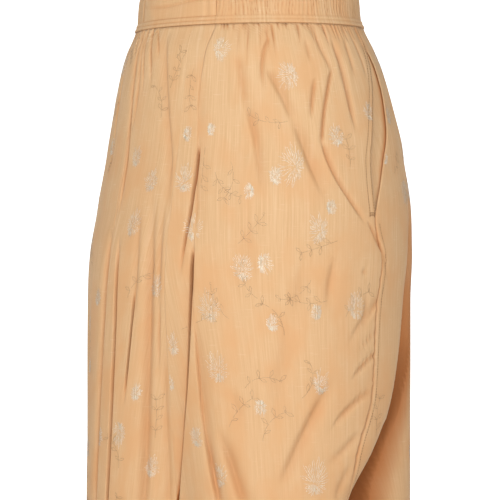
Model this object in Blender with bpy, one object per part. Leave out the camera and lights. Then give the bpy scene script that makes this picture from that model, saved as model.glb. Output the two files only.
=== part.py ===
"""Pleated dhoti pants, worn form: flat front waistband, gathered elastic casing,
two pleated front panels, two gathered leg fronts, two back panels, a side pocket
facing and two ankle cuffs. Metres, +Z up, front faces -Y, the wearer's left is +X.
The origin is the centre of the waist opening."""

import bpy
import numpy as np

CLOTH = 0.0015
BAND_THICKNESS = 0.0026
FACING_THICKNESS = 0.0013
SEAM_GAP = 0.0003
FACING_INSET = CLOTH + SEAM_GAP
FACING_DEPTH = 0.0130
BAND_DROP = 0.040
RIDGE_TOP = -0.035
RIDGE_BEVEL = 0.0012
RIDGE_PROUD = 0.0012
LEG_BOTTOM = -0.925
HEM_BOTTOM = -0.950
CUFF_THICKNESS = 0.0022
CUFF_EDGE = 0.004
CUFF_COLUMNS = 36

GATHER_COUNT = 92
GATHER_DEPTH = 0.0009
GATHER_FADE = 0.055
PANEL_GATHER_DEPTH = 0.0016
GATHERS_START_LEFT = -78.0
GATHERS_START_RIGHT = -50.0
GATHERS_START_OVER = 6.0

FLAT_BAND_FROM = -130.0
FLAT_BAND_TO = -78.0
FLAT_BAND_COLUMNS = 12
ELASTIC_COLUMNS = 161
WAIST_FRONT = 0.110

POCKET_TOP = -0.062
POCKET_BOTTOM = -0.250
POCKET_HALF_OPEN = 5.4
POCKET_WIDEST_HIGH = 0.85

FACING_TOP = -0.052
FACING_BOTTOM = -0.275
FACING_UNDER_FRONT = 5
FACING_UNDER_BACK = 2
FACING_ACROSS_MOUTH = 3
FACING_HOLLOW_END = 0.90
FACING_HOLLOW_RISE = 0.60
FACING_END_RISE = 0.25

PANEL_TOP = -BAND_DROP - SEAM_GAP
ROW_COUNT = 28
ROWS_CLOSE_AT_TOP = 0.35
PLEATS_LEFT_COLUMNS = 12
LEG_FRONT_COLUMNS = 33
PLEATS_RIGHT_COLUMNS = 18
SIDE_RIGHT_COLUMNS = 18
BACK_COLUMNS = 20

CENTRE_FADE = 0.030
JOIN_ROUND = 0.030
JOIN_FADES = 0.55
JOIN_ENDS = 0.88
SMALL_ANGLE = 0.002
SMALL_HEIGHT = 0.0005

# One row for each height of the worn form.
# Height, leg centre from the middle, leg centre from front to back,
# half width of the leg ring, half depth of the leg ring.
SECTIONS = (
    (0.010, 0.000, 0.000, 0.1340, 0.1020),
    (0.000, 0.000, 0.000, 0.1340, 0.1020),
    (-0.020, 0.000, 0.000, 0.1350, 0.1030),
    (-0.040, 0.000, 0.001, 0.1410, 0.1080),
    (-0.065, 0.000, 0.002, 0.1530, 0.1180),
    (-0.088, 0.000, 0.004, 0.1620, 0.1240),
    (-0.134, 0.000, 0.008, 0.1730, 0.1360),
    (-0.180, 0.000, 0.011, 0.1820, 0.1460),
    (-0.240, 0.004, 0.010, 0.1860, 0.1570),
    (-0.290, 0.012, 0.004, 0.1820, 0.1600),
    (-0.350, 0.025, 0.000, 0.1680, 0.1580),
    (-0.450, 0.045, 0.000, 0.1460, 0.1540),
    (-0.580, 0.062, 0.000, 0.1260, 0.1500),
    (-0.640, 0.072, 0.000, 0.1080, 0.1400),
    (-0.680, 0.078, 0.000, 0.0930, 0.1250),
    (-0.715, 0.082, -0.002, 0.0800, 0.1100),
    (-0.780, 0.086, -0.006, 0.0670, 0.0900),
    (-0.860, 0.088, -0.010, 0.0580, 0.0720),
    (-0.925, 0.090, -0.012, 0.0520, 0.0580),
    (-0.960, 0.090, -0.012, 0.0500, 0.0550),
)

# Seam lines on a leg ring. Height, then the ring angle in degrees:
# minus 90 is the front of the ring, 0 its side and 90 its back.
PLEAT_SEAM_LEFT = (
    (-0.040, -78.0),
    (-0.080, -82.0),
    (-0.120, -83.0),
    (-0.236, -81.0),
    (-0.378, -87.0),
    (-0.487, -91.0),
    (-0.563, -87.0),
    (-0.700, -89.0),
    (-0.950, -90.0),
)
PLEAT_SEAM_RIGHT = (
    (-0.040, -50.0),
    (-0.075, -58.0),
    (-0.166, -61.0),
    (-0.289, -64.0),
    (-0.392, -66.0),
    (-0.551, -66.0),
    (-0.700, -74.0),
    (-0.950, -90.0),
)
SIDE_SEAM_LEFT = (
    (-0.040, 5.0),
    (-0.070, 5.0),
    (-0.105, 3.5),
    (-0.140, -0.5),
    (-0.198, -8.2),
    (-0.258, -11.5),
    (-0.303, -7.0),
    (-0.370, -9.5),
    (-0.448, -11.0),
    (-0.524, -20.0),
    (-0.600, -22.0),
    (-0.750, -5.0),
    (-0.950, 0.0),
)
SIDE_SEAM_RIGHT = (
    (-0.040, 5.0),
    (-0.200, 0.0),
    (-0.400, -6.0),
    (-0.560, -16.0),
    (-0.750, -5.0),
    (-0.950, 0.0),
)

# The deep crease behind each leg, under the hanging seat.
# Height, ring angle, half width and depth of the crease.
SEAT_CREASE = (
    (-0.040, 34.0, 0.009, 0.000),
    (-0.120, 31.0, 0.009, 0.000),
    (-0.220, 25.0, 0.012, 0.004),
    (-0.300, 23.0, 0.014, 0.008),
    (-0.390, 24.0, 0.017, 0.015),
    (-0.436, 22.0, 0.022, 0.026),
    (-0.468, 19.0, 0.027, 0.038),
    (-0.511, 12.0, 0.036, 0.055),
    (-0.564, 2.0, 0.045, 0.068),
    (-0.620, -4.0, 0.046, 0.058),
    (-0.700, 0.0, 0.040, 0.030),
    (-0.800, 6.0, 0.030, 0.000),
    (-0.960, 6.0, 0.030, 0.000),
)

# The dip of the front and of the back where the two legs meet.
# Height, dip of the front, dip of the back, half width of both.
CENTRE_DIP = (
    (-0.040, 0.000, 0.000, 0.030),
    (-0.300, 0.000, 0.000, 0.030),
    (-0.450, 0.006, 0.004, 0.032),
    (-0.580, 0.014, 0.010, 0.034),
    (-0.640, 0.008, 0.006, 0.034),
    (-0.690, 0.000, 0.000, 0.034),
    (-0.960, 0.000, 0.000, 0.034),
)

# Folds that can be seen. Top height, bottom height, ring angle at the top,
# at half way and at the bottom, half width, depth (a minus is a raised fold),
# and the share of the length over which the fold starts and ends.
FOLDS_LEFT = (
    (-0.042, -0.237, -68.0, -62.0, -58.0, 0.0085, 0.0040, 0.05, 0.45),
    (-0.045, -0.112, -51.5, -56.0, -56.0, 0.0070, 0.0030, 0.15, 0.50),
    (-0.070, -0.257, -55.0, -46.5, -30.0, 0.0120, 0.0055, 0.30, 0.45),
    (-0.072, -0.192, -24.0, -34.0, -34.0, 0.0080, 0.0060, 0.35, 0.20),
    (-0.178, -0.303, -35.0, -25.0, -3.0, 0.0085, 0.0070, 0.20, 0.30),
    (-0.060, -0.170, -19.5, -19.0, -17.0, 0.0085, 0.0032, 0.30, 0.50),
    (-0.105, -0.152, -37.0, -37.5, -38.0, 0.0070, 0.0028, 0.40, 0.40),
    (-0.300, -0.362, -3.0, -17.0, -33.0, 0.0110, 0.0045, 0.25, 0.55),
    (-0.395, -0.500, -9.0, -21.0, -35.0, 0.0120, 0.0055, 0.25, 0.55),
    (-0.425, -0.540, -32.0, -44.0, -54.0, 0.0120, 0.0050, 0.40, 0.50),
    (-0.275, -0.362, -29.0, -31.5, -33.0, 0.0110, 0.0035, 0.40, 0.50),
    (-0.090, -0.330, -82.0, -80.0, -86.0, 0.0080, 0.0060, 0.35, 0.45),
    (-0.330, -0.640, -86.0, -90.0, -84.0, 0.0120, 0.0125, 0.30, 0.35),
    (-0.470, -0.640, -85.0, -74.0, -66.0, 0.0120, 0.0080, 0.40, 0.40),
    (-0.285, -0.600, -82.0, -98.0, -117.0, 0.0085, 0.0090, 0.25, 0.10),
    (-0.330, -0.520, -62.0, -66.0, -68.0, 0.0160, -0.0040, 0.50, 0.50),
    (-0.600, -0.900, -60.0, -48.0, -52.0, 0.0140, 0.0070, 0.40, 0.30),
    (-0.640, -0.925, -30.0, -26.0, -30.0, 0.0130, 0.0060, 0.40, 0.15),
    (-0.690, -0.925, -100.0, -104.0, -96.0, 0.0120, 0.0055, 0.40, 0.15),
)
FOLDS_RIGHT = (
    (-0.289, -0.640, -64.0, -66.0, -68.0, 0.0090, 0.0160, 0.25, 0.30),
    (-0.296, -0.640, -70.0, -75.0, -79.0, 0.0075, 0.0120, 0.25, 0.30),
    (-0.045, -0.262, -54.0, -61.5, -64.0, 0.0080, 0.0060, 0.10, 0.40),
    (-0.043, -0.120, -64.0, -69.0, -75.0, 0.0070, 0.0038, 0.10, 0.50),
    (-0.043, -0.300, -74.5, -86.0, -95.0, 0.0100, 0.0034, 0.10, 0.50),
    (-0.360, -0.640, -84.0, -86.0, -88.0, 0.0075, 0.0050, 0.40, 0.40),
    (-0.300, -0.640, -92.0, -98.0, -107.0, 0.0090, 0.0045, 0.35, 0.35),
    (-0.300, -0.660, -100.0, -108.0, -118.0, 0.0090, 0.0045, 0.35, 0.20),
    (-0.043, -0.420, -44.0, -50.0, -52.0, 0.0110, 0.0050, 0.10, 0.50),
    (-0.043, -0.300, -30.0, -34.0, -38.0, 0.0110, 0.0045, 0.10, 0.60),
    (-0.043, -0.240, -14.0, -16.0, -20.0, 0.0110, 0.0040, 0.10, 0.60),
    (-0.330, -0.640, -46.0, -44.0, -40.0, 0.0140, 0.0090, 0.40, 0.40),
    (-0.400, -0.700, -22.0, -26.0, -30.0, 0.0150, 0.0080, 0.40, 0.40),
    (-0.600, -0.925, -58.0, -46.0, -50.0, 0.0140, 0.0070, 0.40, 0.20),
    (-0.690, -0.925, -98.0, -104.0, -96.0, 0.0120, 0.0055, 0.40, 0.15),
)
FOLDS_BACK = (
    (-0.042, -0.250, 88.0, 84.0, 78.0, 0.0110, 0.0045, 0.08, 0.60),
    (-0.042, -0.330, 74.0, 72.0, 66.0, 0.0120, 0.0050, 0.08, 0.60),
    (-0.042, -0.200, 60.0, 60.0, 57.0, 0.0100, 0.0040, 0.08, 0.60),
    (-0.042, -0.300, 47.0, 46.0, 44.0, 0.0110, 0.0045, 0.08, 0.60),
    (-0.042, -0.180, 33.0, 34.0, 34.0, 0.0100, 0.0035, 0.08, 0.60),
    (-0.042, -0.210, 19.0, 18.0, 16.0, 0.0100, 0.0040, 0.08, 0.60),
    (-0.300, -0.660, 62.0, 70.0, 80.0, 0.0160, 0.0090, 0.50, 0.40),
    (-0.380, -0.700, 48.0, 56.0, 68.0, 0.0160, 0.0100, 0.50, 0.40),
    (-0.340, -0.640, 84.0, 92.0, 102.0, 0.0160, 0.0080, 0.50, 0.40),
    (-0.650, -0.925, 60.0, 70.0, 66.0, 0.0140, 0.0065, 0.40, 0.15),
    (-0.700, -0.925, 110.0, 104.0, 112.0, 0.0130, 0.0060, 0.40, 0.15),
)

CLOTH_COLOUR = (0.84, 0.56, 0.31, 1.0)
BAND_COLOUR = (0.82, 0.53, 0.29, 1.0)
FACING_COLOUR = (0.74, 0.46, 0.24, 1.0)


def clear_scene():
    for old in list(bpy.data.objects):
        bpy.data.objects.remove(old, do_unlink=True)


def read_table(rows, height):
    """The table's columns at a height, smooth between its rows."""
    table = np.array(rows)[::-1]
    known = table[:, 0]
    values = table[:, 1:]
    steps = np.diff(values, axis=0) / np.diff(known)[:, None]
    before = steps[:-1]
    after = steps[1:]
    same_way = before * after > 0
    total = np.where(same_way, before + after, 1.0)
    between = np.where(same_way, 2.0 * before * after / total, 0.0)
    slopes = np.concatenate([steps[:1], between, steps[-1:]])
    height = np.clip(height, known[0], known[-1])
    low = np.clip(np.searchsorted(known, height) - 1, 0, len(known) - 2)
    step = known[low + 1] - known[low]
    part = ((height - known[low]) / step)[..., None]
    step = step[..., None]
    start = (1 + 2 * part) * (1 - part) ** 2
    start_slope = part * (1 - part) ** 2
    end = part ** 2 * (3 - 2 * part)
    end_slope = part ** 2 * (part - 1)
    mixed = start * values[low] + start_slope * step * slopes[low]
    mixed = mixed + end * values[low + 1] + end_slope * step * slopes[low + 1]
    return np.moveaxis(mixed, -1, 0)


def smooth_step(value):
    value = np.clip(value, 0.0, 1.0)
    return value * value * (3.0 - 2.0 * value)


def trough(distance, half_width):
    return np.exp(-(distance / half_width) ** 2)


def fold_offset(rows, angle, height, arc):
    """How far the folds of a table move the cloth inward."""
    moved = np.zeros_like(height)
    for top, bottom, first, middle, last, half_width, depth, rise, fall in rows:
        along = np.clip((top - height) / (top - bottom), 0.0, 1.0)
        line = first + (4 * middle - 3 * first - last) * along
        line = line + (2 * first + 2 * last - 4 * middle) * along ** 2
        reach = smooth_step(along / rise) * smooth_step((1.0 - along) / fall)
        distance = (angle - np.radians(line)) * arc
        moved = moved + depth * reach * trough(distance, half_width)
    return moved


def gather_offset(side, angle, height, arc):
    """Small gathers under the elastic, gone a little way down."""
    start = GATHERS_START_LEFT if side > 0 else GATHERS_START_RIGHT
    outside_flat = smooth_step((np.degrees(angle) - start) / GATHERS_START_OVER)
    fade = np.clip(1.0 + (height + BAND_DROP) / GATHER_FADE, 0.0, 1.0) ** 2
    wave = np.cos(angle * GATHER_COUNT * 0.5)
    return PANEL_GATHER_DEPTH * outside_flat * fade * wave


def join_fill(x, centre_x, half_width, half_depth):
    """Rounds the valley where the two leg rings meet."""
    share = np.clip(centre_x / half_width, 0.0, JOIN_ENDS)
    slope = half_depth / half_width * share / np.sqrt(1.0 - share ** 2)
    slope = slope * (1.0 - smooth_step((share - JOIN_FADES) / (JOIN_ENDS - JOIN_FADES)))
    outside = np.maximum(x, 0.0)
    return slope * (np.sqrt(outside ** 2 + JOIN_ROUND ** 2) - outside)


def surface(side, angle, height, kept_apart=True):
    """Points on the outside of the cloth; side is 1 for the wearer's left."""
    centre_x, centre_y, half_width, half_depth = read_table(SECTIONS, height)
    cos_angle = np.cos(angle)
    sin_angle = np.sin(angle)
    arc = np.sqrt((half_width * sin_angle) ** 2 + (half_depth * cos_angle) ** 2)
    normal_x = half_depth * cos_angle / arc
    normal_y = half_width * sin_angle / arc
    x = centre_x + half_width * cos_angle
    y = centre_y + half_depth * sin_angle

    crease_angle, crease_width, crease_depth = read_table(SEAT_CREASE, height)
    crease_distance = (angle - np.radians(crease_angle)) * arc
    inward = crease_depth * trough(crease_distance, crease_width)
    inward = inward + fold_offset(FOLDS_BACK, angle, height, arc)
    if side > 0:
        inward = inward + fold_offset(FOLDS_LEFT, angle, height, arc)
    else:
        inward = inward + fold_offset(FOLDS_RIGHT, angle, height, arc)
    inward = inward + gather_offset(side, angle, height, arc)

    dip_front, dip_back, dip_width = read_table(CENTRE_DIP, height)
    fill = join_fill(x, centre_x, half_width, half_depth)
    dip = np.where(sin_angle < 0, dip_front, dip_back) * trough(x, dip_width) - fill
    dip = dip * np.where(sin_angle < 0, 1.0, -1.0)
    near_centre = smooth_step(x / CENTRE_FADE)
    moved_x = x - inward * normal_x * near_centre
    moved_y = y - inward * normal_y * near_centre + dip
    if kept_apart:
        moved_x = np.maximum(moved_x, SEAM_GAP / 2)
    return np.stack([side * moved_x, moved_y, height], axis=-1)


def surface_normal(side, angle, height):
    """Unit vectors that point out of the garment."""
    after = surface(side, angle + SMALL_ANGLE, height, False)
    before = surface(side, angle - SMALL_ANGLE, height, False)
    above = surface(side, angle, height + SMALL_HEIGHT, False)
    below = surface(side, angle, height - SMALL_HEIGHT, False)
    cross = np.cross(below - above, after - before) * side
    return cross / np.linalg.norm(cross, axis=-1, keepdims=True)


def ring_limit(height):
    """The angle at which a leg ring reaches the middle of the garment."""
    centre_x, centre_y, half_width, half_depth = read_table(SECTIONS, height)
    share = np.clip((centre_x - SEAM_GAP / 2) / half_width, 0.0, 1.0)
    gap_angle = SEAM_GAP / 2 / half_depth
    return np.degrees(np.pi - np.maximum(np.arccos(share), gap_angle))


def trimmed(edge_angle, height, direction):
    """Half a seam gap to one side of a seam line."""
    centre_x, centre_y, half_width, half_depth = read_table(SECTIONS, height)
    angle = np.radians(edge_angle)
    arc = np.sqrt((half_width * np.sin(angle)) ** 2 + (half_depth * np.cos(angle)) ** 2)
    return edge_angle + np.degrees(direction * SEAM_GAP / 2 / arc)


def lofted_wall(name, outer, inner, colour, closed=False):
    """A closed wall from two grids of points, rows from top to bottom."""
    rows, columns = outer.shape[:2]
    count = rows * columns
    points = np.concatenate([outer.reshape(-1, 3), inner.reshape(-1, 3)])
    faces = []

    def corner(row, column, layer):
        return layer * count + row * columns + column % columns

    last = columns if closed else columns - 1
    for row in range(rows - 1):
        for column in range(last):
            a = corner(row, column, 0)
            b = corner(row + 1, column, 0)
            c = corner(row + 1, column + 1, 0)
            d = corner(row, column + 1, 0)
            faces.append((a, b, c))
            faces.append((a, c, d))
            faces.append((c + count, b + count, a + count))
            faces.append((d + count, c + count, a + count))
    for column in range(last):
        top_a = corner(0, column, 0)
        top_b = corner(0, column + 1, 0)
        low_a = corner(rows - 1, column, 0)
        low_b = corner(rows - 1, column + 1, 0)
        faces.append((top_a, top_b, top_b + count, top_a + count))
        faces.append((low_b, low_a, low_a + count, low_b + count))
    if not closed:
        for row in range(rows - 1):
            first_a = corner(row, 0, 0)
            first_b = corner(row + 1, 0, 0)
            end_a = corner(row, columns - 1, 0)
            end_b = corner(row + 1, columns - 1, 0)
            faces.append((first_b, first_a, first_b + count))
            faces.append((first_a, first_a + count, first_b + count))
            faces.append((end_a, end_b, end_b + count))
            faces.append((end_a, end_b + count, end_a + count))
    mesh = bpy.data.meshes.new(name)
    mesh.from_pydata([tuple(p) for p in points], [], faces)
    mesh.validate()
    mesh.update()
    made = bpy.data.objects.new(name, mesh)
    bpy.context.scene.collection.objects.link(made)
    material = bpy.data.materials.new(name)
    material.use_nodes = True
    shader = material.node_tree.nodes["Principled BSDF"]
    shader.inputs["Base Color"].default_value = colour
    shader.inputs["Roughness"].default_value = 0.75
    made.data.materials.append(material)
    if mesh_volume(mesh) < 0:
        mesh.flip_normals()
    return made


def mesh_volume(mesh):
    total = 0.0
    for face in mesh.polygons:
        corners = [np.array(mesh.vertices[i].co) for i in face.vertices]
        for index in range(1, len(corners) - 1):
            total += np.dot(corners[0], np.cross(corners[index], corners[index + 1])) / 6.0
    return total


def height_rows():
    """Heights of every panel's rows, closer together near the waist."""
    even = np.linspace(0.0, 1.0, ROW_COUNT)
    bent = (1.0 - ROWS_CLOSE_AT_TOP) * even + ROWS_CLOSE_AT_TOP * even ** 2
    return PANEL_TOP + (LEG_BOTTOM - PANEL_TOP) * bent


def panel_angles(first_edge, last_edge, columns):
    """Ring angles of a panel's grid, rows from top to bottom."""
    heights = height_rows()
    share = np.linspace(0.0, 1.0, columns)[None, :]
    first = first_edge(heights)[:, None]
    last = last_edge(heights)[:, None]
    height = np.repeat(heights[:, None], columns, axis=1)
    return np.radians(first * (1.0 - share) + last * share), height


def inner_skin(side, outer, normal, depth):
    """Outer points moved into the garment, level at both ends."""
    inner = outer - depth * normal
    inner[..., 0] = side * np.maximum(side * inner[..., 0], SEAM_GAP / 2)
    inner[0, :, 2] = outer[0, :, 2]
    inner[-1, :, 2] = outer[-1, :, 2]
    return inner


def panel(name, side, first_edge, last_edge, columns):
    """A cloth panel between two seam lines of one leg."""
    angle, height = panel_angles(first_edge, last_edge, columns)
    outer = surface(side, angle, height)
    inner = inner_skin(side, outer, surface_normal(side, angle, height), CLOTH)
    return lofted_wall(name, outer, inner, CLOTH_COLOUR)


def seam_edge(rows, direction):
    return lambda heights: trimmed(read_table(rows, heights)[0], heights, direction)


def pocket_half_open(heights):
    """Half the angle that the pocket mouth gapes by, widest above its middle."""
    share = np.clip((POCKET_TOP - heights) / (POCKET_TOP - POCKET_BOTTOM), 0.0, 1.0)
    return POCKET_HALF_OPEN * np.sin(np.pi * share ** POCKET_WIDEST_HIGH)


def pocket_edge(direction):
    def edge(heights):
        seam = read_table(SIDE_SEAM_LEFT, heights)[0]
        return trimmed(seam + direction * pocket_half_open(heights), heights, direction)
    return edge


def front_limit(heights):
    return -ring_limit(heights)


def back_limit(heights):
    return ring_limit(heights)


def band_ring(angle, height, proud):
    """Points of the waistband at world angles."""
    centre_x, centre_y, half_width, half_depth = read_table(SECTIONS, height)
    x = (half_width + proud) * np.cos(angle)
    y = centre_y + (half_depth + proud) * np.sin(angle)
    return np.stack([x, y, height], axis=-1)


def band(name, first, last, columns, gathered):
    """A length of waistband with a stitched ridge along its lower edge."""
    heights = np.array([0.0, RIDGE_TOP + RIDGE_BEVEL, RIDGE_TOP, -BAND_DROP])
    proud = np.array([0.0, 0.0, RIDGE_PROUD, RIDGE_PROUD])
    angle = np.radians(np.linspace(first, last, columns))[None, :]
    height = np.repeat(heights[:, None], columns, axis=1)
    wave = np.zeros(columns)
    if gathered:
        wave = GATHER_DEPTH * np.where(np.arange(columns) % 2 == 0, 1.0, -1.0)
    outward = proud[:, None] + wave[None, :]
    angle = np.repeat(angle, len(heights), axis=0)
    outer = band_ring(angle, height, outward)
    inside = np.repeat(wave[None, :] - BAND_THICKNESS, len(heights), axis=0)
    inner = band_ring(angle, height, inside)
    return lofted_wall(name, outer, inner, BAND_COLOUR)


def pocket_facing():
    """The cloth behind the pocket mouth, made from the panels' own points."""
    front, height = panel_angles(seam_edge(PLEAT_SEAM_LEFT, 1), pocket_edge(-1), LEG_FRONT_COLUMNS)
    back, height = panel_angles(pocket_edge(1), back_limit, BACK_COLUMNS)
    front = front[:, -FACING_UNDER_FRONT:]
    back = back[:, :FACING_UNDER_BACK]
    share = np.linspace(0.0, 1.0, FACING_ACROSS_MOUTH + 2)[None, 1:-1]
    mouth = front[:, -1:] * (1.0 - share) + back[:, :1] * share
    angle = np.concatenate([front, mouth, back], axis=1)
    heights = height_rows()
    kept = (heights < FACING_TOP) & (heights > FACING_BOTTOM)
    angle = angle[kept]
    height = np.repeat(heights[kept][:, None], angle.shape[1], axis=1)
    across = np.linspace(0.0, 1.0, angle.shape[1])[None, :]
    down = np.linspace(0.0, 1.0, angle.shape[0])[:, None]
    hollow = smooth_step((FACING_HOLLOW_END - across) / FACING_HOLLOW_RISE)
    hollow = hollow * smooth_step(down / FACING_END_RISE) * smooth_step((1.0 - down) / FACING_END_RISE)
    inset = (FACING_INSET + (FACING_DEPTH - FACING_INSET) * hollow)[..., None]
    skin = surface(1, angle, height)
    normal = surface_normal(1, angle, height)
    outer = skin - inset * normal
    inner = skin - (inset + FACING_THICKNESS) * normal
    return lofted_wall("pocket_facing_left", outer, inner, FACING_COLOUR)


def cuff(name, side):
    """A narrow turned band that closes the ankle end of a leg."""
    heights = np.array([LEG_BOTTOM - SEAM_GAP, LEG_BOTTOM - CUFF_EDGE, HEM_BOTTOM])
    around = np.linspace(0.0, 2.0 * np.pi, CUFF_COLUMNS, endpoint=False)
    height = np.repeat(heights[:, None], CUFF_COLUMNS, axis=1)
    angle = np.repeat(around[None, :], len(heights), axis=0)
    centre_x, centre_y, half_width, half_depth = read_table(SECTIONS, height)
    x = side * (centre_x + half_width * np.cos(angle))
    y = centre_y + half_depth * np.sin(angle)
    outer = np.stack([x, y, height], axis=-1)
    inside_x = side * (centre_x + (half_width - CUFF_THICKNESS) * np.cos(angle))
    inside_y = centre_y + (half_depth - CUFF_THICKNESS) * np.sin(angle)
    inner = np.stack([inside_x, inside_y, height], axis=-1)
    return lofted_wall(name, outer, inner, BAND_COLOUR, closed=True)


clear_scene()

side_right = seam_edge(SIDE_SEAM_RIGHT, -1)
panel("front_pleats_left", 1, front_limit, seam_edge(PLEAT_SEAM_LEFT, -1), PLEATS_LEFT_COLUMNS)
panel("leg_front_left", 1, seam_edge(PLEAT_SEAM_LEFT, 1), pocket_edge(-1), LEG_FRONT_COLUMNS)
panel("back_left", 1, pocket_edge(1), back_limit, BACK_COLUMNS)
panel("front_pleats_right", -1, front_limit, seam_edge(PLEAT_SEAM_RIGHT, -1), PLEATS_RIGHT_COLUMNS)
panel("leg_front_right", -1, seam_edge(PLEAT_SEAM_RIGHT, 1), side_right, SIDE_RIGHT_COLUMNS)
panel("back_right", -1, seam_edge(SIDE_SEAM_RIGHT, 1), back_limit, BACK_COLUMNS)
band_gap = np.degrees(SEAM_GAP / 2 / WAIST_FRONT)
band("waistband_flat", FLAT_BAND_FROM + band_gap, FLAT_BAND_TO - band_gap, FLAT_BAND_COLUMNS, False)
round_back = FLAT_BAND_FROM + 360.0
band("waistband_elastic", FLAT_BAND_TO + band_gap, round_back - band_gap, ELASTIC_COLUMNS, True)
pocket_facing()
cuff("cuff_left", 1)
cuff("cuff_right", -1)
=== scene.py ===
"""Looks of the pleated dhoti pants: thin cloth shells on the solids' form, with the
folds, gathers, foil flowers, stitching and light of the photographed ones."""

import math

import bpy
import numpy as np
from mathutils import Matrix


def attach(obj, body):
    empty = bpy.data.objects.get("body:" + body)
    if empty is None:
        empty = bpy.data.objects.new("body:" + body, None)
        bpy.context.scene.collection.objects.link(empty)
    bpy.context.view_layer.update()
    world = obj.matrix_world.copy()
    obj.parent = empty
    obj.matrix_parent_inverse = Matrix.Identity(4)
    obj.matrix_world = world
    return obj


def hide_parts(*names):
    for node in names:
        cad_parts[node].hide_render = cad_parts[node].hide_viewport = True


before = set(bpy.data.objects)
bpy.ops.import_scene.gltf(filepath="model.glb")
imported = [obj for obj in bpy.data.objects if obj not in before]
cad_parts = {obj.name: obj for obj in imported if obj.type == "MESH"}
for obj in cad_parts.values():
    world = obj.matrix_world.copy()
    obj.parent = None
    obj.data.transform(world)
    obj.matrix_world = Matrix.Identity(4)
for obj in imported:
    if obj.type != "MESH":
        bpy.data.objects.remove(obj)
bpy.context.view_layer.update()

# Sizes that the shells share with the solids, in metres.
CLOTH = 0.0010
BAND_THICKNESS = 0.0022
BAND_DROP = 0.040
ROLL_TOP = -0.0305
ROLL_MIDDLE = -0.0352
RIDGE_PROUD = 0.0016
BAND_GATHER_STEP = 1.7
LEG_BOTTOM = -0.925
HEM_BOTTOM = -0.950
PANEL_TOP = -0.0403
FLAT_BAND_FROM = -130.0
FLAT_BAND_TO = -78.0
POCKET_TOP = -0.062
POCKET_BOTTOM = -0.250
POCKET_HALF_OPEN = 5.4
FACING_TOP = -0.052
FACING_BOTTOM = -0.275
FACING_BEFORE = 9.0
FACING_BEHIND = 5.0
FACING_INSET = 0.0016
FACING_HOLLOW = 0.0075
CENTRE_FADE = 0.009
JOIN_ROUND = 0.030
JOIN_FADES = 0.55
JOIN_ENDS = 0.88
SMALL_ANGLE = 0.0020
SMALL_HEIGHT = 0.0005

# Metres of cloth that the texture runs over for each radian of a ring.
PANEL_PER_RADIAN = 0.165
BAND_PER_RADIAN = 0.12
CUFF_PER_RADIAN = 0.055

# Where each piece starts on the texture, so that no two look alike.
FACING_APART = 14.0
ELASTIC_APART = 16.0
FLAT_BAND_APART = 18.0
CUFF_APART = 20.0

# Columns and rows of the small shells.
FACING_GRID = (40, 70)
ELASTIC_GRID = (560, 28)
FLAT_BAND_GRID = (130, 44)
CUFF_GRID = (120, 12)

# Stitches: length, gap, width and lift, in metres.
STITCH = 0.0022
STITCH_GAP = 0.0009
STITCH_WIDTH = 0.00085
STITCH_LIFT = 0.0003
BARTACK_STITCH = 0.0030
BARTACK_GAP = 0.0004
BARTACK_ROW = 0.0016

# Gathers under the elastic.
GATHER_STEP = 2.1
GATHER_UNEVEN = 0.55

# Creases deeper than this, in mm, have steep walls.
SLIT_DEPTH = 8.5
SLIT_POWER = 3.4
SOFT_POWER = 1.8

# Columns of a shell near its creases.
MOST_CROWDED = 7.0
CROWD_SHARPNESS = 2.2
CROWD_WIDTH = 1.7
CROWD_EARLY = 3.0

# Painted shade: deeper colour at the bottom of creases, in the seat hollow and along the seams.
SHADE_SHARPNESS = 0.70
SLIT_SHARPNESS = 1.60
SEAT_SHADE_STARTS = 12.0
SEAM_SHADE_WIDTH = 0.0013

SEAM_GROOVE_WIDTH = 0.0009
PUCKER_WIDTH = 0.0045

SECTIONS = (
    (0.010, 0.000, 0.000, 0.1340, 0.1020),
    (0.000, 0.000, 0.000, 0.1340, 0.1020),
    (-0.020, 0.000, 0.000, 0.1350, 0.1030),
    (-0.040, 0.000, 0.001, 0.1410, 0.1080),
    (-0.065, 0.000, 0.002, 0.1530, 0.1180),
    (-0.088, 0.000, 0.004, 0.1620, 0.1240),
    (-0.134, 0.000, 0.008, 0.1730, 0.1360),
    (-0.180, 0.000, 0.011, 0.1820, 0.1460),
    (-0.240, 0.004, 0.010, 0.1860, 0.1570),
    (-0.290, 0.012, 0.004, 0.1820, 0.1600),
    (-0.350, 0.025, 0.000, 0.1680, 0.1580),
    (-0.450, 0.045, 0.000, 0.1460, 0.1540),
    (-0.580, 0.062, 0.000, 0.1260, 0.1500),
    (-0.640, 0.072, 0.000, 0.1080, 0.1400),
    (-0.680, 0.078, 0.000, 0.0930, 0.1250),
    (-0.715, 0.082, -0.002, 0.0800, 0.1100),
    (-0.780, 0.086, -0.006, 0.0670, 0.0900),
    (-0.860, 0.088, -0.010, 0.0580, 0.0720),
    (-0.925, 0.090, -0.012, 0.0520, 0.0580),
    (-0.960, 0.090, -0.012, 0.0500, 0.0550),
)

PLEAT_SEAM_LEFT = (
    (-0.040, -78.0),
    (-0.080, -82.0),
    (-0.120, -83.0),
    (-0.236, -81.0),
    (-0.378, -87.0),
    (-0.487, -91.0),
    (-0.563, -87.0),
    (-0.700, -89.0),
    (-0.950, -90.0),
)

PLEAT_SEAM_RIGHT = (
    (-0.040, -50.0),
    (-0.075, -58.0),
    (-0.166, -61.0),
    (-0.289, -64.0),
    (-0.392, -66.0),
    (-0.551, -66.0),
    (-0.700, -74.0),
    (-0.950, -90.0),
)

SIDE_SEAM_LEFT = (
    (-0.040, 5.0),
    (-0.070, 5.0),
    (-0.105, 3.5),
    (-0.140, -0.5),
    (-0.198, -8.2),
    (-0.258, -11.5),
    (-0.303, -7.0),
    (-0.370, -9.5),
    (-0.448, -11.0),
    (-0.524, -20.0),
    (-0.600, -22.0),
    (-0.750, -5.0),
    (-0.950, 0.0),
)

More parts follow.
